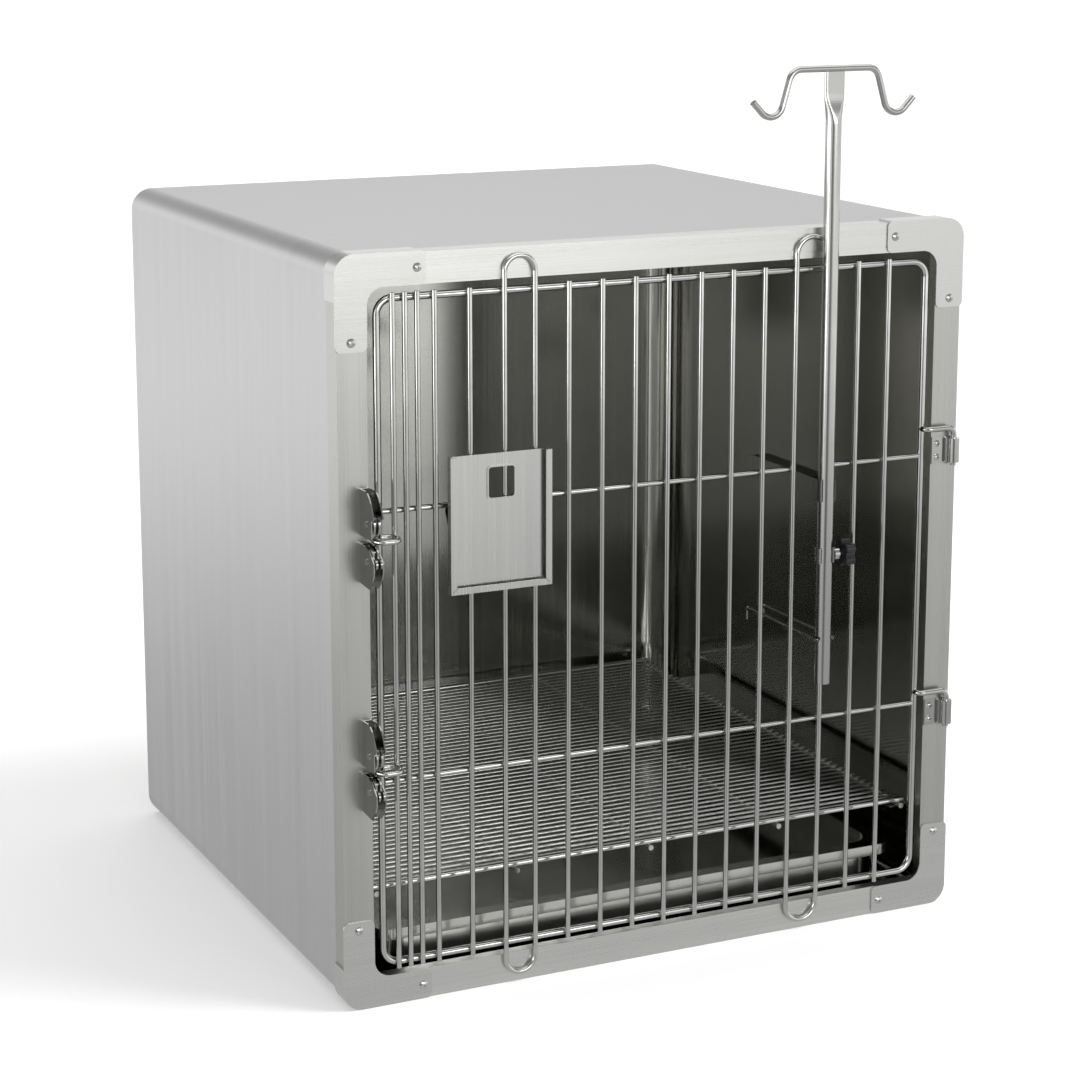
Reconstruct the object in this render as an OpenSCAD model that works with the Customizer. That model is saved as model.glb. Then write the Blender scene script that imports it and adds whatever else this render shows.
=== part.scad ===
// Kennel cage: a wrapped steel cabinet with a riveted front frame, a wire door on two lift-off
// hinges, two sprung latches, a card holder, a drip pole in a clamp, a floor grille and a tray.
// Millimetres, +Z up, the door faces -Y, and the origin is the middle of the base.

/* [Cabinet] */
// Width of the front frame
case_w = 610; // [600:1:620]
// Height of the front frame
case_h = 655; // [650:1:665]
// Depth from the front face to the back
case_d = 565; // [540:5:600]
// Face width of the stiles and rails
rail_w = 27; // [26:0.5:28]
// Depth of the flange that the front frame lays round the shell
flange_d = 22; // [18:1:26]
// Thickness of the sheet steel
sheet_t = 1.2; // [1:0.1:1.3]
// Radius of the shell's long edges
shell_r = 21; // [18:1:24]
// Radius of the front frame's outer corners
corner_r = 16; // [14:1:17]
// Leg length of the corner gussets
gusset_leg = 80; // [76:1:84]

/* [Door] */
// Diameter of the door's outer rod
frame_rod_d = 6.4; // [6:0.1:6.6]
// Diameter of the upright bars and cross bars
bar_d = 4.8; // [4.4:0.1:5]
// Spacing of the upright bars
bar_pitch = 32; // [31.5:0.25:32.25]
// Clear gap between the door's outer rod and the front frame
door_gap = 6.3; // [6:0.1:6.6]
// Height of the upper cross bar
upper_cross_z = 438; // [436:0.5:440]
// Height of the lower cross bar
lower_cross_z = 201.5; // [195:0.5:205]
// Height of the upper hinge's middle
upper_hinge_z = 442; // [420:1:460]
// Height of the lower hinge's middle
lower_hinge_z = 191; // [180:1:200]
// Diameter of the hinge pins
pintle_d = 5.5; // [5:0.1:5.6]

/* [Latches] */
// Height of the upper latch's throat
upper_latch_z = 417; // [410:0.5:420]
// Height of the lower latch's throat
lower_latch_z = 216; // [210:0.5:220]
// Outside width of a latch case
latch_w = 9.4; // [9.2:0.1:9.6]
// Height of the throat that takes the strike ring
throat_h = 7.6; // [7.2:0.1:8]

/* [Drip pole] */
// Diameter of the pole
pole_d = 14.3; // [14:0.1:14.5]
// Height of the pole's lower end
pole_low_z = 239; // [235:1:250]
// Height of the hook bar
hook_z = 795.5; // [780:0.5:820]
// Height of the clamp
clamp_z = 359; // [350:1:370]

/* [Floor] */
// Height of the middle of the grille's long rods
grille_z = 95; // [90:1:100]
// Spacing of the grille's fine wires
grille_pitch = 10.4; // [10:0.2:12]
// Height of the tray's rim
tray_rim_z = 57; // [52:1:60]
// Depth of the tray from its rim to its underside
tray_depth = 32; // [28:1:34]

/* [Hidden] */
$fn = 48;
STEEL = "gainsboro";
SATIN = "silver";
CHROME = "lightgray";
DARK = "dimgray";

half_w = case_w / 2;
inset_x = half_w - rail_w;              // half width of the door opening
return_d = 10;                          // depth of the folded edge round the opening
gusset_t = 1.5;                         // thickness of a gusset, and how far it stands out
gusset_wrap = 38;                       // length of the gusset's fold on the side
rivet_edge = 12.5;                      // rivets from the frame's outer edge
rivet_along = 72;                       // rivets from the frame's corner
rivet_d = 4;

rod_x = inset_x - door_gap - frame_rod_d / 2;
rod_low_z = rail_w + 10.3;
rod_high_z = case_h - rail_w - 10;
rod_bend = 14;                          // bend radius at the door's corners
bar_y = -2.9;                           // the bars lie in front of the outer rod
rod_y = bar_y + bar_d / 2 + frame_rod_d / 2 - 0.1;
cross_y = bar_y + bar_d - 0.2;
bar_first = -7;
bar_last = 7;
bar_shift = 2;                          // the row of bars sits a little toward the hinges
bar_step = 3.5;                         // the left hairpin is this much narrower than the pitch
hairpin_left_k = -5;                    // each hairpin replaces bars k and k + 1
hairpin_right_k = 4;
close_first = 12.2;                     // three bars stand close together at the latches
close_pitch = 11.1;
hairpin_low_z = 9.5;
hairpin_high_z = case_h - 7.5;

hinge_x = half_w - 6;
hinge_y = -5.9;
barrel_d = 11;
barrel_h = 22.5;
hinge_leaf = [20.5, 25, 1.5];
hinge_screw_in = 15.5;                  // screws from the hinge's axis
pintle_run_z = 21;                      // the pintle's level run above the hinge's middle

latch_x = -inset_x - 8.4;               // the case's outer side
latch_wall = 1.2;
pin_y = -15;
pin_z = 16;
pin_d = 4;
pawl_w = latch_w - 2 * latch_wall - 1;
pawl_r = 13.1;
strike_d = 4.6;

arm_x = bar_x(hairpin_right_k + 1);     // the hairpin's arm that carries the brackets
pole_x = arm_x - 3.5;
pole_y = bar_y - bar_d / 2 - 0.45 - pole_d / 2;
cradle_r = pole_d / 2 + 0.35;           // inside radius of what holds the pole
cradle_t = 1.3;
bracket_h = 20.5;
bracket_z = 409;
bracket_back = 105;
lower_bracket_z = 281.5;

card_w = 94.5;
card_h = 118.7;
card_z = 362.3;
card_x = -161.9;                        // middle of the card holder
card_y = bar_y - bar_d / 2 - 1.4;       // front of its back sheet
card_lip = 5.6;
card_depth = 6.5;
window = [24, 26.5];                    // opening in the card holder's back sheet
card_t = 1;

grille_half = 268;
grille_front_y = 22;
grille_back_y = 541;
tray_half = 264;
tray_front_y = 25;
tray_len = 515;
tray_flange = 13;
tray_lip = 10;
tray_t = 1;

function bar_x(k) = bar_shift + k * bar_pitch + (k <= hairpin_left_k ? bar_step : 0);
function unit(v) = v / norm(v);
function turn(a, b, c) = acos(max(-1, min(1, unit(b - a) * unit(c - b))));
function trim(a, b, c, r) = r * tan(turn(a, b, c) / 2);

// ---- shared shapes ----

// Moves a shape drawn from the front face to the part's own frame
module at_front() {
    translate([0, -case_d / 2, 0]) children();
}

// A flat outline in X and Z made into a sheet that runs from y to y + t
module upright(y, t) {
    translate([0, y + t, 0]) rotate([90, 0, 0]) linear_extrude(t) children();
}

// A flat outline in Y and Z made into a slab that runs from x to x + w
module sideways(x, w) {
    translate([x, 0, 0]) rotate([90, 0, 90]) linear_extrude(w) children();
}

// A round rod between two points
module rod(a, b, d) {
    v = b - a;
    translate(a) rotate([0, acos(v.z / norm(v)), atan2(v.y, v.x)]) cylinder(d = d, h = norm(v));
}

// The bent piece of wire at corner b of a path a, b, c
module bend(a, b, c, r, d) {
    u = unit(b - a);
    v = unit(c - b);
    t = turn(a, b, c);
    centre = b + unit(v - u) * r / cos(t / 2);
    e1 = unit(b - u * trim(a, b, c, r) - centre);
    e3 = cross(e1, u);
    multmatrix([[e1.x, u.x, e3.x, centre.x], [e1.y, u.y, e3.y, centre.y], [e1.z, u.z, e3.z, centre.z]])
        rotate_extrude(angle = t) translate([r, 0]) circle(d = d);
}

// A round wire along a path of points, its corners bent to radius r. The straight lengths are a
// hair thinner than the bends and run a little way into them.
module wire(path, r, d, closed = false) {
    n = len(path);
    lap = 0.2;
    for (i = [0 : closed ? n - 1 : n - 2]) {
        a = path[i];
        b = path[(i + 1) % n];
        cut_a = closed || i > 0 ? trim(path[(i + n - 1) % n], a, b, r) - lap : 0;
        cut_b = closed || i < n - 2 ? trim(a, b, path[(i + 2) % n], r) - lap : 0;
        rod(a + unit(b - a) * cut_a, b - unit(b - a) * cut_b, d - 0.02);
    }
    for (i = [closed ? 0 : 1 : closed ? n - 1 : n - 2])
        bend(path[(i + n - 1) % n], path[i], path[(i + 1) % n], r, d);
}

// A rectangle with round corners, centred in x and standing on y = 0
module round_rect(w, h, r) {
    translate([-w / 2, r]) square([w, h - 2 * r]);
    translate([-w / 2 + r, 0]) square([w - 2 * r, h]);
    for (side = [-1, 1], y = [r, h - r]) translate([side * (w / 2 - r), y]) circle(r);
}

// What a round corner takes away from a square one at the origin
module corner_cut(r) {
    difference() {
        translate([-1, -1]) square(r + 1);
        translate([r, r]) circle(r);
    }
}

// A domed rivet along +Y: its head stands in front of y = 0, and its tail is behind the grip
module rivet(d, head_d, head_h, grip) {
    dome_r = (head_d * head_d / 4 + head_h * head_h) / (2 * head_h);
    rotate([90, 0, 0]) difference() {
        rotate_extrude() intersection() {
            translate([0, head_h - dome_r]) circle(dome_r);
            square([head_d / 2, head_h]);
        }
        translate([0, 0, head_h / 4]) cylinder(d = d * 0.62, h = head_h);
    }
    rotate([-90, 0, 0]) cylinder(d = d, h = grip);
    translate([0, grip, 0]) rotate([-90, 0, 0]) cylinder(d = d * 1.4, h = 1.4);
}

// ---- cabinet ----

module frame_outline(lap = 0) {
    translate([0, lap]) round_rect(case_w - 2 * lap, case_h - 2 * lap, corner_r - lap);
}

module tube_outline(lap) {
    translate([0, lap]) round_rect(case_w - 2 * lap, case_h - 2 * lap, shell_r - lap);
}

// One length of the wrapped sheet, set in by lap
module shell_length(y, length, lap) {
    upright(y, length) difference() {
        tube_outline(lap);
        tube_outline(lap + sheet_t);
    }
}

module shell_wrap() color(STEEL) at_front() {
    shell_length(flange_d, case_d - flange_d, 0);
    shell_length(sheet_t + 0.5, flange_d - sheet_t - 0.5, sheet_t);
    upright(flange_d, sheet_t) difference() {
        tube_outline(0.3);
        tube_outline(2 * sheet_t - 0.3);
    }
}

module back_panel() color(STEEL) at_front() {
    r = 30;
    inner_x = half_w - sheet_t;
    intersection() {
        upright(case_d - 2 * r, 2 * r) tube_outline(sheet_t);
        linear_extrude(case_h) difference() {
            back_section(inner_x, r, 0);
            back_section(inner_x, r, sheet_t);
        }
    }
}

// Plan of the back panel's pan, set in by lap, open toward the front
module back_section(x, r, lap) {
    translate([-x + lap, case_d - 2 * r - (lap > 0 ? 1 : 0)])
        square([2 * (x - lap), r + (lap > 0 ? 1 : 0)]);
    translate([-x + r, case_d - 2 * r]) square([2 * (x - r), 2 * r - lap]);
    for (side = [-1, 1]) translate([side * (x - r), case_d - r]) circle(r - lap);
}

// Where a gusset's two rivets sit, for all four corners
module gusset_rivet_places() {
    for (side = [-1, 1], top = [0, 1]) {
        z1 = top ? case_h - rivet_edge : rivet_edge;
        z2 = top ? case_h - rivet_along : rivet_along;
        translate([side * (half_w - rivet_along), 0, z1]) children();
        translate([side * (half_w - rivet_edge), 0, z2]) children();
    }
}

module rivet_holes() {
    gusset_rivet_places() rotate([90, 0, 0]) cylinder(d = rivet_d, h = 12, center = true);
}

module stile(side) color(STEEL) at_front() difference() {
    union() {
        intersection() {
            upright(0, sheet_t) frame_outline();
            translate([side > 0 ? inset_x : -half_w, -1, 0]) cube([rail_w, 5, case_h]);
        }
        intersection() {
            upright(0, flange_d) difference() {
                frame_outline();
                frame_outline(sheet_t);
            }
            translate([side > 0 ? inset_x : -half_w, -1, 0]) cube([rail_w, flange_d + 2, case_h]);
        }
        translate([side > 0 ? inset_x : -inset_x - sheet_t, 0, rail_w])
            cube([sheet_t, return_d, case_h - 2 * rail_w]);
    }
    rivet_holes();
    if (side < 0) latch_rivet_places() rotate([90, 0, 0]) cylinder(d = 3, h = 12, center = true);
    if (side > 0) hinge_screw_places() rotate([90, 0, 0]) cylinder(d = 3.5, h = 12, center = true);
}

// A rail: outer_z is its outer edge, and up is the way from there to the opening
module rail(outer_z, up) color(STEEL) at_front() difference() {
    union() {
        z0 = up > 0 ? outer_z : outer_z - rail_w;
        translate([-inset_x, 0, z0]) cube([2 * inset_x, sheet_t, rail_w]);
        translate([-inset_x, 0, up > 0 ? outer_z : outer_z - sheet_t])
            cube([2 * inset_x, flange_d, sheet_t]);
        translate([-inset_x, 0, outer_z + up * rail_w - (up > 0 ? sheet_t : 0)])
            cube([2 * inset_x, return_d, sheet_t]);
    }
    rivet_holes();
}

module left_stile() stile(-1);
module right_stile() stile(1);
module top_rail() rail(case_h, -1);
module bottom_rail() rail(0, 1);

// A gusset at the origin's corner, its legs along +x and +y. It laps past the frame's side by
// gusset_t, and past its top by lap_end.
module gusset_outline(lap_end) {
    inner_r = 15;
    difference() {
        union() {
            translate([-gusset_t, -lap_end]) square([gusset_leg + gusset_t, rail_w + lap_end]);
            translate([-gusset_t, -lap_end]) square([rail_w + gusset_t, gusset_leg + lap_end]);
            translate([rail_w - 0.01, rail_w - 0.01]) difference() {
                square(inner_r);
                translate([inner_r, inner_r]) circle(inner_r);
            }
        }
        translate([-gusset_t, -lap_end]) corner_cut(corner_r + gusset_t);
        for (y = [0, 1])
            translate([gusset_leg, y ? rail_w : -lap_end]) rotate(y ? 180 : 90) corner_cut(5);
        for (x = [0, 1])
            translate([x ? rail_w : -gusset_t, gusset_leg]) rotate(x ? 180 : 270) corner_cut(5);
    }
}

// The gusset's fold round the outside of the frame, as an outline
module gusset_fold(lap_end) {
    intersection() {
        difference() {
            translate([-gusset_t, -lap_end]) square(gusset_leg);
            translate([-gusset_t, -lap_end]) corner_cut(corner_r + gusset_t);
            difference() {
                square(gusset_leg + 5);
                corner_cut(corner_r);
            }
        }
        union() {
            translate([-5, -5]) square([5 + corner_r, gusset_wrap + 5]);
            if (lap_end > 0) translate([-5, -5]) square([gusset_leg, 5]);
        }
    }
}

module gusset(side, top) color(SATIN) at_front() difference() {
    lap_end = top ? gusset_t : 0;
    translate([side * half_w, 0, top ? case_h : 0]) mirror([side > 0 ? 1 : 0, 0, 0])
        mirror([0, 0, top ? 1 : 0]) {
            upright(-gusset_t, gusset_t) gusset_outline(lap_end);
            upright(-gusset_t, flange_d + gusset_t) gusset_fold(lap_end);
        }
    rivet_holes();
}

module gusset_top_left() gusset(-1, true);
module gusset_top_right() gusset(1, true);
module gusset_bottom_left() gusset(-1, false);
module gusset_bottom_right() gusset(1, false);

module gusset_rivets() color(CHROME) at_front() gusset_rivet_places()
    translate([0, -gusset_t, 0]) rivet(rivet_d, 8, 1.3, gusset_t + sheet_t);

// ---- supports inside the cabinet ----

// An angle along the cabinet's side, its level leg under the grille's outer rod
module grille_ledge(side) color(DARK) at_front() {
    t = 1.5;
    wall_x = half_w - sheet_t;
    top_z = grille_z - 2.5 - 0.3;
    length = case_d - 60 - 2 * flange_d;
    mirror([side > 0 ? 0 : 1, 0, 0]) {
        translate([grille_half - 6, flange_d + 6, top_z - t]) cube([wall_x - grille_half + 6, length, t]);
        translate([wall_x - t, flange_d + 6, top_z - 15]) cube([t, length, 15]);
    }
}

// An angle that stands on the cabinet's floor and carries the tray's flange
module tray_runner(side) color(DARK) at_front() {
    t = 1.5;
    web_x = tray_half - tray_flange / 2;
    mirror([side > 0 ? 0 : 1, 0, 0]) {
        translate([web_x, tray_front_y + 30, sheet_t])
            cube([t, tray_len - 80, tray_rim_z - tray_t - 0.3 - sheet_t]);
        translate([web_x, tray_front_y + 30, sheet_t]) cube([26, tray_len - 80, t]);
    }
}

module grille_ledge_left() grille_ledge(-1);
module grille_ledge_right() grille_ledge(1);
module tray_runner_left() tray_runner(-1);
module tray_runner_right() tray_runner(1);

// ---- hinges ----

module hinge_screw_places() {
    for (z = [lower_hinge_z, upper_hinge_z], dz = [-6.5, 6.5])
        translate([hinge_x - hinge_screw_in, 0, z + dz]) children();
}

module hinge_plate(z) color(SATIN) at_front() difference() {
    union() {
        translate([hinge_x - hinge_leaf.x, -hinge_leaf.z, z - hinge_leaf.y / 2])
            cube([hinge_leaf.x, hinge_leaf.z, hinge_leaf.y]);
        translate([hinge_x - 8, -3.2, z - barrel_h / 2]) cube([8, 3.2, barrel_h]);
        translate([hinge_x, hinge_y, z - barrel_h / 2]) cylinder(d = barrel_d, h = barrel_h);
    }
    translate([hinge_x, hinge_y, z - barrel_h]) cylinder(d = pintle_d + 0.12, h = 2 * barrel_h);
    hinge_screw_places() rotate([90, 0, 0]) cylinder(d = 3.5, h = 12, center = true);
}

module hinge_plate_upper() hinge_plate(upper_hinge_z);
module hinge_plate_lower() hinge_plate(lower_hinge_z);

module hinge_screws() color(CHROME) at_front() hinge_screw_places()
    translate([0, -hinge_leaf.z, 0]) rivet(3.5, 6.4, 1.6, hinge_leaf.z + sheet_t);

module hinge_pintle(z) color(CHROME) at_front() {
    run_z = z + pintle_run_z;
    wire([
        [rod_x, rod_y, run_z],
        [rod_x, hinge_y, run_z],
        [hinge_x, hinge_y, run_z],
        [hinge_x, hinge_y, z - barrel_h / 2 - 3]
    ], 6.5, pintle_d);
}

module hinge_pintle_upper() hinge_pintle(upper_hinge_z);
module hinge_pintle_lower() hinge_pintle(lower_hinge_z);

// ---- latches ----

// Side view of the case above the throat: y forward is negative, z up from the throat's middle
TOP_CASE = [
    [0, throat_h / 2], [0, 43], [-13, 43.5], [-17, 42.5], [-21.5, 39], [-24.5, 35], [-31, 23.5],
    [-30, 21.5], [-26, 20.5], [-26, throat_h / 2 + 1.5], [-24.5, throat_h / 2]
];
BOTTOM_CASE = [
    [0, -throat_h / 2], [-13, -throat_h / 2], [-18, -5.5], [-24.5, -10], [-30.5, -15], [-30.5, -24],
    [-27.5, -30], [-19, -39], [0, -37.5]
];

module latch_rivet_places() {
    for (z = [lower_latch_z, upper_latch_z], dz = [-33, 36])
        translate([latch_x + latch_w / 2, 0, z + dz]) children();
}

// Two side plates on a back plate, open at the front
module latch_case(z, outline) color(DARK) at_front() difference() {
    translate([0, 0, z]) difference() {
        sideways(latch_x, latch_w) polygon(outline);
        translate([latch_x + latch_wall, -50, -50]) cube([latch_w - 2 * latch_wall, 50 - latch_wall, 100]);
        for (s = [-1, 1]) translate([latch_x - 1, pin_y, s * pin_z]) rotate([0, 90, 0])
            cylinder(d = pin_d, h = latch_w + 2);
    }
    latch_rivet_places() rotate([90, 0, 0]) cylinder(d = 3, h = 8, center = true);
}

module upper_latch_top_case() latch_case(upper_latch_z, TOP_CASE);
module upper_latch_bottom_case() latch_case(upper_latch_z, BOTTOM_CASE);
module lower_latch_top_case() latch_case(lower_latch_z, TOP_CASE);
module lower_latch_bottom_case() latch_case(lower_latch_z, BOTTOM_CASE);

module latch_pin_places() {
    for (z = [lower_latch_z, upper_latch_z], s = [-1, 1])
        translate([latch_x, pin_y, z + s * pin_z]) mirror([0, 0, s > 0 ? 0 : 1]) children();
}

// A pin with a riveted head at each end
module latch_pins() color(CHROME) at_front() latch_pin_places() rotate([0, 90, 0]) {
    cylinder(d = pin_d, h = latch_w);
    translate([0, 0, -0.8]) cylinder(d = 6, h = 0.8);
    translate([0, 0, latch_w]) cylinder(d = 6, h = 0.8);
}

// A torsion spring between a pawl's cheeks, its leg against the back of the case
module latch_springs() color(SATIN) at_front() latch_pin_places() {
    d = 0.9;
    coil_r = 4.9;
    translate([latch_w / 2, 0, 0]) rotate([0, 90, 0]) rotate_extrude()
        for (i = [-1 : 1]) translate([coil_r, i * 0.8]) circle(d = d);
    translate([latch_w / 2, 0, coil_r]) rotate([-90, 0, 0]) cylinder(d = 0.7, h = -pin_y - latch_wall);
}

module latch_rivets() color(CHROME) at_front() latch_rivet_places()
    translate([0, -latch_wall, 0]) rivet(3, 5.4, 1.2, latch_wall + sheet_t);

// A pawl hangs from its pin, its nose toward the throat: two cheeks on one hub
module pawl(z, s) color(SATIN) at_front()
    translate([latch_x + (latch_w - pawl_w) / 2, pin_y, z + s * pin_z]) mirror([0, 0, s > 0 ? 0 : 1])
        difference() {
            union() {
                for (x = [0, pawl_w - 1.7]) sideways(x, 1.7) pawl_outline(s);
                rotate([0, 90, 0]) cylinder(r = 3.9, h = pawl_w);
                translate([0, -6, -8.5]) rotate([0, 90, 0]) cylinder(d = 2.4, h = pawl_w);
            }
            translate([-1, 0, 0]) rotate([0, 90, 0]) cylinder(d = pin_d + 0.1, h = pawl_w + 2);
        }

// The lower pawl's nose is narrower, and a finger tab stands out in front of its pin
module pawl_outline(s) {
    circle(6.2);
    intersection() {
        circle(pawl_r);
        polygon([[0, 0], [4, -20], [s > 0 ? -20 : -9.5, -20], [s > 0 ? -20 : -9.5, s > 0 ? 5 : 0]]);
    }
    if (s < 0) {
        translate([-13, -4.5]) square([13, 9]);
        translate([-13, 0]) circle(4.5);
    }
}

module upper_latch_top_pawl() pawl(upper_latch_z, 1);
module upper_latch_bottom_pawl() pawl(upper_latch_z, -1);
module lower_latch_top_pawl() pawl(lower_latch_z, 1);
module lower_latch_bottom_pawl() pawl(lower_latch_z, -1);

// ---- door ----

module door_frame() color(CHROME) at_front() wire([
    [-rod_x, rod_y, rod_low_z], [rod_x, rod_y, rod_low_z],
    [rod_x, rod_y, rod_high_z], [-rod_x, rod_y, rod_high_z]
], rod_bend, frame_rod_d, closed = true);

module door_bars() color(CHROME) at_front() {
    single = [
        for (k = [bar_first : bar_last])
            if (k != hairpin_left_k && k != hairpin_left_k + 1
                && k != hairpin_right_k && k != hairpin_right_k + 1) bar_x(k)
    ];
    close = [for (i = [0 : 2]) -rod_x + close_first + i * close_pitch];
    for (x = concat(single, close))
        rod([x, bar_y, rod_low_z - 4], [x, bar_y, rod_high_z + 5], bar_d);
}

// The upper cross bar stops between the right hairpin's arms
module door_cross_bars() color(CHROME) at_front() {
    end_x = rod_x - frame_rod_d / 2 + 0.5;
    rod([-end_x, cross_y, lower_cross_z], [end_x, cross_y, lower_cross_z], bar_d);
    rod([-end_x, cross_y, upper_cross_z], [bar_x(hairpin_right_k) + 2, cross_y, upper_cross_z], bar_d);
    rod([arm_x - 2, cross_y, upper_cross_z], [end_x, cross_y, upper_cross_z], bar_d);
}

// A long link that laps over the front frame at both ends, so the door can't swing inward
module hairpin(k) color(CHROME) at_front() wire([
    [bar_x(k), bar_y, hairpin_low_z], [bar_x(k + 1), bar_y, hairpin_low_z],
    [bar_x(k + 1), bar_y, hairpin_high_z], [bar_x(k), bar_y, hairpin_high_z]
], (bar_x(k + 1) - bar_x(k)) / 2 - 0.5, bar_d, closed = true);

module door_hairpin_left() hairpin(hairpin_left_k);
module door_hairpin_right() hairpin(hairpin_right_k);

// The ring that the latch holds, welded to the outer rod and to the first bar
module strike_ring(z) color(CHROME) at_front() {
    left_x = -inset_x;
    right_x = -rod_x + close_first - 1;
    back_y = -2.6;
    front_y = -21.5;
    wire([[left_x, front_y, z], [right_x, front_y, z], [right_x, back_y, z], [left_x, back_y, z]],
        8, strike_d, closed = true);
}

module strike_ring_upper() strike_ring(upper_latch_z);
module strike_ring_lower() strike_ring(lower_latch_z);

// ---- drip pole ----

// A C round the pole's back, from z up, open at the front
module cradle(z, h) {
    translate([pole_x, pole_y, z]) rotate([0, 0, -35]) rotate_extrude(angle = 250)
        translate([cradle_r, 0]) square([cradle_t, h]);
}

// A C that goes back into the cage on each side of the hairpin's arm, with a lid behind the arm
module pole_bracket_upper() color(SATIN) at_front() {
    leg_x = cradle_r + 0.3;
    cradle(bracket_z, bracket_h);
    for (side = [0, 1])
        translate([pole_x + (side ? leg_x : -leg_x - cradle_t), pole_y, bracket_z])
            cube([cradle_t, bracket_back - pole_y, bracket_h]);
    translate([pole_x - leg_x - cradle_t, 0.5, bracket_z + bracket_h - cradle_t])
        cube([2 * (leg_x + cradle_t), bracket_back - 0.5, cradle_t]);
}

// The same in bent wire, its ends turned down
module pole_bracket_lower() color(SATIN) at_front() {
    d = 3;
    r = cradle_r + d / 2;
    translate([pole_x, pole_y, lower_bracket_z]) rotate([0, 0, -35])
        rotate_extrude(angle = 250) translate([r, 0]) circle(d = d);
    for (side = [-1, 1]) wire([
        [pole_x + side * r, pole_y, lower_bracket_z],
        [pole_x + side * r, bracket_back + 5, lower_bracket_z],
        [pole_x + side * r, bracket_back + 5, lower_bracket_z - 12]
    ], 5, d);
}

// A C with a threaded boss for the clamp screw
module pole_clamp() color(SATIN) at_front() difference() {
    union() {
        cradle(clamp_z - 7, 14);
        translate([pole_x + cradle_r + cradle_t / 2, pole_y, clamp_z]) rotate([0, 90, 0])
            cylinder(d = 12, h = 5);
    }
    translate([pole_x + cradle_r - 2, pole_y, clamp_z]) rotate([0, 90, 0]) cylinder(d = 6.1, h = 12);
}

// A tube with its top pressed flat to carry the hooks
module pole_tube() color(CHROME) at_front() translate([pole_x, pole_y, 0]) {
    taper_z = hook_z - 48;
    flat_z = hook_z - 20;
    steps = 14;
    translate([0, 0, pole_low_z]) difference() {
        cylinder(d = pole_d, h = taper_z - pole_low_z);
        translate([0, 0, -1]) cylinder(d = pole_d - 2.4, h = taper_z - pole_low_z - 4);
    }
    for (i = [0 : steps - 1]) hull() {
        pressed_slice(i / steps, taper_z + (flat_z - taper_z) * i / steps);
        pressed_slice((i + 1) / steps, taper_z + (flat_z - taper_z) * (i + 1) / steps);
    }
    hull() {
        pressed_slice(1, flat_z);
        pressed_slice(1, hook_z - 2.6);
    }
}

// A thin slice of the tube, pressed from round (amount 0) to flat (amount 1)
module pressed_slice(amount, z) {
    ease = amount * amount * (3 - 2 * amount);
    flat_w = 20;
    flat_t = 4.4;
    w = pole_d + (flat_w - pole_d) * ease;
    t = pole_d + (flat_t - pole_d) * ease;
    for (side = [-1, 1]) translate([side * (w - t) / 2, 0, z]) cylinder(d = t, h = 0.1, $fn = 40);
}

// One wire: a hook at each end of a level bar
module pole_hooks() color(CHROME) at_front() translate([pole_x, pole_y, hook_z]) wire([
    [-81.5, 0, -27], [-58, 0, -51.5], [-43, 0, 0], [43, 0, 0], [58, 0, -51.5], [81.5, 0, -27]
], 12, 6);

module clamp_knob() color("black") at_front() {
    lobes = 5;
    knob_x = pole_x + cradle_r + cradle_t + 6;
    translate([knob_x, pole_y, clamp_z]) rotate([0, 90, 0]) difference() {
        union() {
            cylinder(d = 13, h = 4);
            translate([0, 0, 2]) cylinder(d = 20, h = 9);
            for (i = [0 : lobes - 1]) rotate(i * 360 / lobes + 20) translate([9, 0, 2])
                cylinder(d = 9, h = 9);
        }
        translate([0, 0, -1]) cylinder(d = 6, h = 9);
    }
}

module clamp_stud() color(CHROME) at_front()
    translate([pole_x + pole_d / 2 + 0.35, pole_y, clamp_z]) rotate([0, 90, 0])
        cylinder(d = 6, h = cradle_r + cradle_t + 6 - pole_d / 2 - 0.35 + 8);

// ---- card holder ----

// A sheet folded to a channel on three sides, with a rimmed window near its top
module card_holder() color(SATIN) at_front() {
    front_y = card_y - card_depth;
    left = card_x - card_w / 2;
    difference() {
        translate([left, card_y - card_t, card_z]) cube([card_w, card_t, card_h]);
        upright(card_y - 3, 6) window_outline(0);
    }
    upright(card_y - card_t - 0.8, 1) difference() {
        window_outline(1.4);
        window_outline(0);
    }
    upright(front_y, card_t) card_lips(left);
    for (x = [left, left + card_w - card_t])
        translate([x, front_y, card_z]) cube([card_t, card_depth, card_h]);
    translate([left, front_y, card_z]) cube([card_w, card_depth, card_t]);
}

// The window's outline, larger by rim on each side
module window_outline(rim) {
    translate([card_x + 2, card_z + card_h - 12 - window.y - rim])
        round_rect(window.x + 2 * rim, window.y + 2 * rim, 2.5 + rim);
}

// The three lips, mitred where they meet
module card_lips(left) {
    seam = 0.4;
    difference() {
        translate([left, card_z]) square([card_w, card_h]);
        translate([left + card_lip, card_z + card_lip]) square([card_w - 2 * card_lip, card_h]);
        for (side = [0, 1])
            translate([left + side * card_w, card_z]) rotate(side ? 135 : 45)
                translate([2, -seam / 2]) square([card_lip * 1.5, seam]);
    }
}

// Two spring clips behind the holder that drop over the upper cross bar
module card_holder_hooks() color(DARK) at_front() {
    clip_w = 10;
    back = card_y + card_t / 2 - 0.05;
    path = [[back, 40], [back, 8.5], [9, -0.5], [11.5, -8], [5.6, -19]];
    for (x = [card_x - card_w / 2 + 5.5, (bar_x(hairpin_left_k) + bar_x(hairpin_left_k + 1) - clip_w) / 2])
        translate([0, 0, upper_cross_z]) sideways(x, clip_w) ribbon(path, card_t);
}

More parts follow.
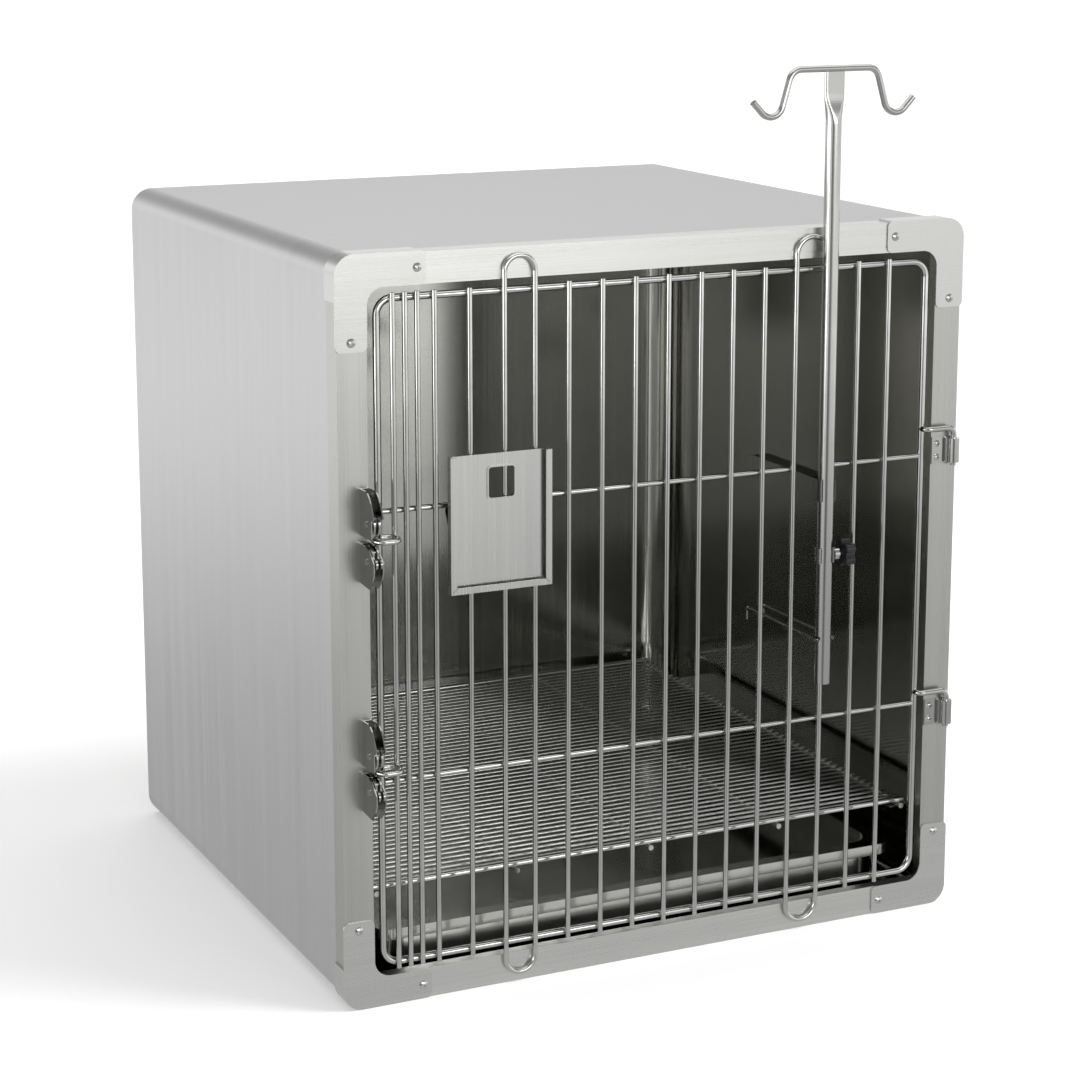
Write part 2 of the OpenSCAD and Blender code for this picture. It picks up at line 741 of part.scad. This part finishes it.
// A strip of thickness t bent along a flat path, its bends a hair thinner
module ribbon(path, t) {
    for (i = [0 : len(path) - 2]) {
        v = path[i + 1] - path[i];
        translate(path[i]) rotate(atan2(v.y, v.x)) translate([0, -t / 2]) square([norm(v), t]);
    }
    for (i = [1 : len(path) - 1]) translate(path[i]) circle(d = 0.94 * t);
}

// ---- floor ----

module grille_wires() color(CHROME) at_front() {
    d = 3;
    z = grille_z + 2.5 + d / 2 - 0.2;
    count = floor((grille_back_y - grille_front_y - 16) / grille_pitch);
    for (i = [0 : count]) {
        y = grille_back_y - 8 - i * grille_pitch;
        rod([-grille_half - 2.5, y, z], [grille_half + 2.5, y, z], d);
    }
}

module grille_rods() color(CHROME) at_front()
    for (i = [-2 : 2]) rod([i * grille_half / 2, grille_front_y - 4.5, grille_z],
        [i * grille_half / 2, grille_back_y + 5, grille_z], 5);

module grille_end_rods() color(CHROME) at_front() for (y = [grille_front_y, grille_back_y])
    rod([-grille_half - 3, y, grille_z + 5.3], [grille_half + 3, y, grille_z + 5.3], 6);

// A shallow pan with a flange turned down at its edge
module tray() color(SATIN) at_front() translate([0, tray_front_y, 0]) difference() {
    low_z = tray_rim_z - tray_depth;
    union() {
        translate([0, 0, tray_rim_z - tray_lip]) linear_extrude(tray_lip) tray_outline(0);
        translate([0, 0, low_z]) linear_extrude(tray_depth) tray_outline(tray_flange);
    }
    translate([0, 0, tray_rim_z - tray_lip - 1]) linear_extrude(tray_lip + 1 - tray_t) difference() {
        tray_outline(tray_t);
        tray_outline(tray_flange);
    }
    translate([0, 0, low_z + tray_t]) linear_extrude(tray_depth) tray_outline(tray_flange + tray_t);
}

module tray_outline(lap) {
    translate([0, lap]) round_rect(2 * (tray_half - lap), tray_len - 2 * lap, 15 + lap * 0.6);
}

shell_wrap();
back_panel();
left_stile();
right_stile();
top_rail();
bottom_rail();
gusset_top_left();
gusset_top_right();
gusset_bottom_left();
gusset_bottom_right();
gusset_rivets();
grille_ledge_left();
grille_ledge_right();
tray_runner_left();
tray_runner_right();
hinge_plate_upper();
hinge_plate_lower();
hinge_screws();
upper_latch_top_case();
upper_latch_bottom_case();
lower_latch_top_case();
lower_latch_bottom_case();
latch_pins();
latch_springs();
latch_rivets();
upper_latch_top_pawl();
upper_latch_bottom_pawl();
lower_latch_top_pawl();
lower_latch_bottom_pawl();
door_frame();
door_bars();
door_cross_bars();
door_hairpin_left();
door_hairpin_right();
strike_ring_upper();
strike_ring_lower();
hinge_pintle_upper();
hinge_pintle_lower();
pole_bracket_upper();
pole_bracket_lower();
pole_clamp();
pole_tube();
pole_hooks();
clamp_knob();
clamp_stud();
card_holder();
card_holder_hooks();
grille_wires();
grille_rods();
grille_end_rods();
tray();
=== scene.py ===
"""Looks of the kennel cage: brushed steel sheet, drawn wire, latches, drip pole and tray."""

import math

import bpy
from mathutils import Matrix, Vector

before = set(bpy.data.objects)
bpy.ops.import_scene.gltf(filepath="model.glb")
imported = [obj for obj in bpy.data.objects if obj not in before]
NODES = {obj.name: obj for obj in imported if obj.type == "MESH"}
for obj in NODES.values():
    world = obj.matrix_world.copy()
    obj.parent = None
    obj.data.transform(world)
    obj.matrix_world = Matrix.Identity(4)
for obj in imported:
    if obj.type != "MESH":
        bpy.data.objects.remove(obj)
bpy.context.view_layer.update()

MM = 0.001


def middle_of(obj):
    """The middle of the object's box, in its own coordinates."""
    low, high = Vector(obj.bound_box[0]), Vector(obj.bound_box[6])
    return (low + high) / 2


CABINET_MIDDLE = middle_of(NODES["shell_wrap"])


# ---- node helpers ----


class Graph:
    """The node tree of a material or a world, with short ways to add and wire nodes."""

    def __init__(self, owner):
        owner.use_nodes = True
        self.tree = owner.node_tree
        self.coords = self.add("TexCoord").outputs

    def add(self, kind):
        return self.tree.nodes.new("ShaderNode" + kind)

    def fill(self, node, inputs):
        """Wires the inputs that are sockets and sets the ones that are plain values."""
        for key, value in inputs.items():
            if isinstance(value, bpy.types.NodeSocket):
                self.tree.links.new(value, node.inputs[key])
            else:
                node.inputs[key].default_value = value
        return node

    def noise(self, scale, detail=3.0, roughness=0.55):
        """Noise over the object; scale is one number, or one for each axis."""
        scales = scale if isinstance(scale, tuple) else (scale, scale, scale)
        mapping = self.fill(self.add("Mapping"), {"Vector": self.coords["Object"], "Scale": scales})
        shape = {"Scale": 1.0, "Detail": detail, "Roughness": roughness}
        node = self.fill(self.add("TexNoise"), {"Vector": mapping.outputs["Vector"], **shape})
        return node.outputs["Fac"]

    def spread(self, source, low, high, start=0.3, end=0.7, smooth=False):
        """Maps start to low and end to high; a noise mostly stays between 0.3 and 0.7."""
        node = self.add("MapRange")
        node.interpolation_type = "SMOOTHSTEP" if smooth else "LINEAR"
        limits = {"From Min": start, "From Max": end, "To Min": low, "To Max": high}
        return self.fill(node, {"Value": source, **limits}).outputs["Result"]

    def math(self, operation, a, b):
        node = self.add("Math")
        node.operation = operation
        return self.fill(node, {0: a, 1: b}).outputs["Value"]

    def mix(self, kind, factor, a, b):
        """Goes from a to b as the factor goes from 0 to 1; kind is FLOAT or RGBA."""
        node = self.add("Mix")
        node.data_type = kind
        return self.fill(node, {"Factor": factor, "A": a, "B": b}).outputs["Result"]

    def vector_math(self, operation, a, b):
        node = self.add("VectorMath")
        node.operation = operation
        return self.fill(node, {0: a, 1: b}).outputs

    def dot(self, a, b):
        return self.vector_math("DOT_PRODUCT", a, b)["Value"]


class Surface(Graph):
    """A material around one Principled BSDF."""

    def __init__(self, name, metallic):
        self.material = bpy.data.materials.new(name)
        super().__init__(self.material)
        self.shader = self.tree.nodes["Principled BSDF"]
        self.shader.inputs["Metallic"].default_value = metallic

    def inward(self):
        """1 on the faces that look toward the middle of the cabinet, 0 on the others."""
        outward = self.vector_math("SUBTRACT", self.coords["Object"], CABINET_MIDDLE)["Vector"]
        return self.math("LESS_THAN", self.dot(self.coords["Normal"], outward), 0.0)

    def finish(self, colour, roughness, relief, depth, strength=1.0):
        """Wires the shader up; the relief is bump, depth metres deep."""
        bump = self.fill(self.add("Bump"), {"Height": relief, "Distance": depth, "Strength": strength})
        looks = {"Base Color": colour, "Roughness": roughness, "Normal": bump.outputs["Normal"]}
        self.fill(self.shader, looks)
        return self.material


# ---- materials ----

# A sheet's tone is fine grain, wider bands along the grain and soft clouds, added in these shares.
GRAIN_SHARE = 0.5
BAND_SHARE = 0.3
CLOUD_SHARE = 0.2
BAND_TO_GRAIN = 0.06
CLOUD_SCALE = 5
SHEET_SMOOTHER = 0.05
SHEET_ROUGHER = 0.07
BRUSHED_DEPTH = 0.02 * MM
POLISHED_DEPTH = 0.001 * MM
LINING_WARMTH = 0.02
FLAT_RELIEF = 0.5

MARK_SCALE = 900
MARK_DEPTH = 0.004 * MM
SMUDGE_SCALE = 35
WIRE_SMOOTHER = 0.02
WIRE_ROUGHER = 0.04

PIT_SCALE = 1400
PIT_DEPTH = 0.04 * MM
PIT_STRENGTH = 0.6
WEAR_SCALE = 60
WEAR_GAIN = 2.2
WEAR_LIFT = 0.004
PLASTIC_SMOOTHER = 0.06
PLASTIC_ROUGHER = 0.1


def grey(value, warmth=0.0):
    """A grey, with three times the warmth taken out of its blue."""
    return (value, value, value * (1 - 3 * warmth), 1)


def greys(shades, warmth):
    return [grey(value, warmth) for value in shades]


def brushed(name, shades, rough, grain, depth=BRUSHED_DEPTH, warmth=0.0, lining_and_shade=None):
    """Steel sheet with a straight grain, between two shades of grey. For the faces that look inward,
    the last argument gives two darker greys and a roughness; the darker greys are painted shade for the
    inside of the cabinet or tray, and those faces are smooth."""
    g = Surface(name, metallic=1.0)
    relief = g.noise(grain, detail=4.0, roughness=0.7)
    bands = g.noise(tuple(scale * BAND_TO_GRAIN for scale in grain), detail=2.0)
    clouds = g.noise(CLOUD_SCALE, detail=4.0)
    tone = g.math("ADD", g.math("MULTIPLY", relief, GRAIN_SHARE), g.math("MULTIPLY", bands, BAND_SHARE))
    tone = g.math("ADD", tone, g.math("MULTIPLY", clouds, CLOUD_SHARE))
    colour = g.mix("RGBA", g.spread(tone, 0, 1), *greys(shades, warmth))
    roughness = g.spread(tone, rough - SHEET_SMOOTHER, rough + SHEET_ROUGHER)
    # Inward faces: smooth steel in darker greys; the darker greys are painted shade for the inside of
    # the cabinet and the tray.
    if lining_and_shade:
        inner_shaded_greys, inner_rough = lining_and_shade
        inward = g.inward()
        inner_shaded_colour = g.mix("RGBA", clouds, *greys(inner_shaded_greys, LINING_WARMTH))
        colour = g.mix("RGBA", inward, colour, inner_shaded_colour)
        roughness = g.mix("FLOAT", inward, roughness, inner_rough)
        relief = g.mix("FLOAT", inward, relief, FLAT_RELIEF)
    return g.finish(colour, roughness, relief, depth)


def drawn_wire(name, shades, rough, warmth=0.0, smudge_scale=SMUDGE_SCALE):
    """Polished wire or turned steel: faint drawing marks and handling smudges."""
    g = Surface(name, metallic=1.0)
    smudges = g.noise(smudge_scale, roughness=0.5)
    colour = g.mix("RGBA", g.spread(smudges, 0, 1), *greys(shades, warmth))
    roughness = g.spread(smudges, rough + WIRE_ROUGHER, rough - WIRE_SMOOTHER)
    return g.finish(colour, roughness, g.noise(MARK_SCALE, detail=2.0), MARK_DEPTH)


def moulded(name, shade, rough):
    """Plastic with fine pits, lighter and rougher where it is worn."""
    g = Surface(name, metallic=0.0)
    wear = g.noise(WEAR_SCALE, detail=4.0)
    worn_shade = tuple(channel * WEAR_GAIN + WEAR_LIFT for channel in shade)
    colour = g.mix("RGBA", g.spread(wear, 0, 1), (*shade, 1), (*worn_shade, 1))
    roughness = g.spread(wear, rough - PLASTIC_SMOOTHER, rough + PLASTIC_ROUGHER)
    return g.finish(colour, roughness, g.noise(PIT_SCALE, detail=2.0), PIT_DEPTH, PIT_STRENGTH)


# Noise scales along x, y and z: small along the grain and large across it.
AROUND_Y = (3, 700, 3)
ALONG_Z = (800, 800, 3)
ALONG_X = (3, 800, 800)

# Inward faces of the wrap and the tray: darker greys, painted shade for their insides, and a smoother
# roughness.
WRAP_LINING_AND_SHADE = ((0.42, 0.50), 0.10)
TRAY_LINING_AND_SHADE = ((0.46, 0.56), 0.14)

WRAP = brushed("wrap_steel", (0.54, 0.66), 0.33, AROUND_Y, lining_and_shade=WRAP_LINING_AND_SHADE)
BACK = brushed("back_steel", (0.60, 0.68), 0.12, ALONG_Z, POLISHED_DEPTH, warmth=0.02)
STILE = brushed("stile_steel", (0.47, 0.57), 0.27, ALONG_Z, warmth=0.015)
RAIL = brushed("rail_steel", (0.64, 0.76), 0.28, ALONG_X, warmth=0.01)
GUSSET = brushed("gusset_steel", (0.64, 0.68), 0.26, ALONG_X, POLISHED_DEPTH, warmth=0.01)
CARD = brushed("card_steel", (0.58, 0.63), 0.25, ALONG_Z, POLISHED_DEPTH, warmth=0.01)
TRAY = brushed("tray_steel", (0.72, 0.84), 0.20, ALONG_X, POLISHED_DEPTH, 0.015, TRAY_LINING_AND_SHADE)
BRACKET = drawn_wire("bracket_steel", (0.26, 0.34), 0.14, smudge_scale=10)
WIRE = drawn_wire("wire_steel", (0.60, 0.70), 0.10, warmth=0.01)
GRILLE = drawn_wire("grille_steel", (0.70, 0.80), 0.14, warmth=0.01, smudge_scale=12)
POLE = drawn_wire("pole_steel", (0.50, 0.58), 0.15, warmth=0.01, smudge_scale=15)
LATCH = drawn_wire("latch_steel", (0.38, 0.48), 0.15, warmth=0.01)
HINGE = drawn_wire("hinge_steel", (0.48, 0.58), 0.13, warmth=0.01)
CLIP = drawn_wire("clip_steel", (0.10, 0.16), 0.25)
RIVET = drawn_wire("rivet_steel", (0.55, 0.70), 0.16)
KNOB = moulded("knob_plastic", (0.006, 0.006, 0.007), 0.25)


# ---- which piece has which material ----

GUSSETS = [n for n in NODES if n.startswith("gusset_") and n != "gusset_rivets"]
STILES = ["left_stile", "right_stile"]
RAILS = ["top_rail", "bottom_rail"]
HINGE_PLATES = ["hinge_plate_upper", "hinge_plate_lower"]

FINISHES = {
    WRAP: ["shell_wrap"],
    BACK: ["back_panel"],
    STILE: STILES,
    RAIL: RAILS,
    GUSSET: GUSSETS,
    HINGE: HINGE_PLATES + ["hinge_pintle_upper", "hinge_pintle_lower"],
    CARD: ["card_holder"],
    CLIP: ["card_holder_hooks"],
    TRAY: ["tray"],
    BRACKET: [n for n in NODES if n.startswith(("pole_bracket_", "grille_ledge_", "tray_runner_"))],
    GRILLE: ["grille_wires", "grille_rods", "grille_end_rods"],
    POLE: ["pole_tube", "pole_hooks", "pole_clamp", "clamp_stud"],
    LATCH: [n for n in NODES if "latch" in n and not n.endswith(("pins", "rivets"))],
    RIVET: ["gusset_rivets", "hinge_screws", "latch_pins", "latch_rivets"],
    KNOB: ["clamp_knob"],
    WIRE: [n for n in NODES if n.startswith(("door_", "strike_ring"))],
}


def dress(obj, material):
    obj.data.materials.clear()
    obj.data.materials.append(material)


for material, names in FINISHES.items():
    for name in names:
        dress(NODES[name], material)


# ---- edges ----

ROUNDINGS = {
    0.4 * MM: GUSSETS + STILES + RAILS + HINGE_PLATES,
    0.35 * MM: [n for n in NODES if n.endswith("_case")] + ["card_holder", "card_holder_hooks"],
    0.25 * MM: [n for n in NODES if n.endswith("_pawl")] + ["pole_bracket_upper", "pole_clamp"],
    0.8 * MM: ["clamp_knob", "tray"],
}
SHARP_EDGE_DEG = 40


def round_edges(obj, width):
    bevel = obj.modifiers.new("edges", "BEVEL")
    bevel.width = width
    bevel.segments = 2
    bevel.limit_method = "ANGLE"
    bevel.angle_limit = math.radians(SHARP_EDGE_DEG)
    bevel.harden_normals = True


for width, names in ROUNDINGS.items():
    for name in names:
        round_edges(NODES[name], width)


# ---- stage ----

FLOOR_SIDE = 9.0
FLOOR_BACK = 4.5
FLOOR_BEND = 1.5
FLOOR_RISE = 3.0
FLOOR_STEPS = 16
FLOOR_GREY = 0.93
FLOOR_ROUGHNESS = 0.6
FLOOR_GLOW = 0.16

LIGHTS_AIM = (0, 0, 0.35)
SOFTBOXES = {
    "overhead": {"at": (0.3, 0.2, 2.9), "size": (4.0, 4.0), "watts": 54},
    "left_side": {"at": (-3.0, -0.1, 0.45), "size": (2.6, 0.9), "watts": 22},
    "front": {"at": (0.3, -3.6, 0.95), "size": (2.6, 0.8), "watts": 20},
}
SUN_FROM = (2.4, -1.4, 2.4)
SUN_STRENGTH = 2.0
SUN_SPREAD_DEG = 28

# The room that the metal mirrors: its brightness at heights from 0, straight down, through 0.5,
# level, to 1, straight up, going by the sine of the elevation.
ROOM_STOPS = (
    (0.0, 0.50), (0.30, 0.52), (0.37, 0.45), (0.395, 0.80), (0.418, 1.28), (0.45, 0.90),
    (0.50, 0.95), (0.56, 1.10), (0.61, 1.10), (0.68, 0.36), (1.0, 0.24),
)
# Up in the room, tipped slightly toward the back of the cage.
ROOM_UP = (0.0, 0.025, 1.0)
# The room is darker in a cone round this direction, where the photographer stood.
DARK_SIDE = (-0.42, -0.89, 0.0)
DARK_CONE = (0.88, 0.96)
DARK_SHARE = 0.25

CAMERA_AT = (-1.083, -2.3115, 0.946)
CAMERA_AZ_DEG = -25.39
CAMERA_EL_DEG = 11.13
SENSOR_MM = 36.0
LENS_MM = 89.3667
SHIFT_UP = -0.1111


def link(name, data, visible_glossy=True):
    """Puts a mesh, a light or a camera into the scene."""
    obj = bpy.data.objects.new(name, data)
    obj.visible_glossy = visible_glossy
    bpy.context.collection.objects.link(obj)
    return obj


def aim(obj, direction):
    obj.rotation_mode = "QUATERNION"
    obj.rotation_quaternion = Vector(direction).to_track_quat("-Z", "Y")


def floor_profile():
    """The floor from front to back, as (y, z): level, then a quarter bend, then a wall."""
    profile = [(-FLOOR_SIDE, 0.0)]
    for i in range(FLOOR_STEPS + 1):
        turn = math.pi / 2 * i / FLOOR_STEPS
        y = FLOOR_BACK - FLOOR_BEND + FLOOR_BEND * math.sin(turn)
        profile.append((y, FLOOR_BEND * (1 - math.cos(turn))))
    profile.append((FLOOR_BACK, FLOOR_RISE))
    return profile


def floor_paint():
    material = bpy.data.materials.new("floor_paint")
    material.use_nodes = True
    shader = material.node_tree.nodes["Principled BSDF"]
    shader.inputs["Base Color"].default_value = grey(FLOOR_GREY)
    shader.inputs["Roughness"].default_value = FLOOR_ROUGHNESS
    shader.inputs["Emission Color"].default_value = grey(1.0)
    shader.inputs["Emission Strength"].default_value = FLOOR_GLOW
    return material


def stage_floor():
    """A pale floor that curves up far behind the cage."""
    profile = floor_profile()
    points = [(x, y, z) for y, z in profile for x in (-FLOOR_SIDE, FLOOR_SIDE)]
    faces = [(2 * i, 2 * i + 1, 2 * i + 3, 2 * i + 2) for i in range(len(profile) - 1)]
    mesh = bpy.data.meshes.new("floor")
    mesh.from_pydata(points, [], faces)
    mesh.polygons.foreach_set("use_smooth", [True] * len(faces))
    mesh.materials.append(floor_paint())
    floor = link("floor", mesh, visible_glossy=False)


def stage_room():
    """A soft room around the stage, darker on the photographer's side."""
    world = bpy.data.worlds.new("studio")
    graph = Graph(world)
    direction = graph.coords["Generated"]
    height = graph.spread(graph.dot(direction, ROOM_UP), 0, 1, start=-1, end=1)
    ramp = graph.fill(graph.add("ValToRGB"), {"Fac": height})
    ramp.color_ramp.interpolation = "EASE"
    stops = ramp.color_ramp.elements
    for position, _ in ROOM_STOPS[1:-1]:
        stops.new(position)
    for stop, (_, value) in zip(stops, ROOM_STOPS):
        stop.color = grey(value)
    toward = graph.dot(direction, DARK_SIDE)
    strength = graph.spread(toward, 1.0, DARK_SHARE, *DARK_CONE, smooth=True)
    graph.fill(graph.tree.nodes["Background"], {"Color": ramp.outputs["Color"], "Strength": strength})
    bpy.context.scene.world = world


def stage_lights():
    """Three softboxes aimed at the cage, and a soft sun that casts the shadow."""
    for name, box in SOFTBOXES.items():
        light = bpy.data.lights.new(name, "AREA")
        light.shape = "RECTANGLE"
        light.size, light.size_y = box["size"]
        light.energy = box["watts"]
        obj = link(name, light)
        obj.location = box["at"]
        aim(obj, Vector(LIGHTS_AIM) - Vector(box["at"]))
    sun = bpy.data.lights.new("key", "SUN")
    sun.energy = SUN_STRENGTH
    sun.angle = math.radians(SUN_SPREAD_DEG)
    aim(link("key", sun, visible_glossy=False), -Vector(SUN_FROM))


def stage_camera():
    """The camera, where the photo was taken from."""
    data = bpy.data.cameras.new("camera")
    data.sensor_width = SENSOR_MM
    data.lens = LENS_MM
    data.shift_y = SHIFT_UP
    camera = link("camera", data)
    camera.location = CAMERA_AT
    az, el = math.radians(CAMERA_AZ_DEG), math.radians(CAMERA_EL_DEG)
    aim(camera, (-math.sin(az) * math.cos(el), math.cos(az) * math.cos(el), -math.sin(el)))
    bpy.context.scene.camera = camera


stage_floor()
stage_room()
stage_lights()
stage_camera()
bpy.context.scene.view_settings.view_transform = "Standard"
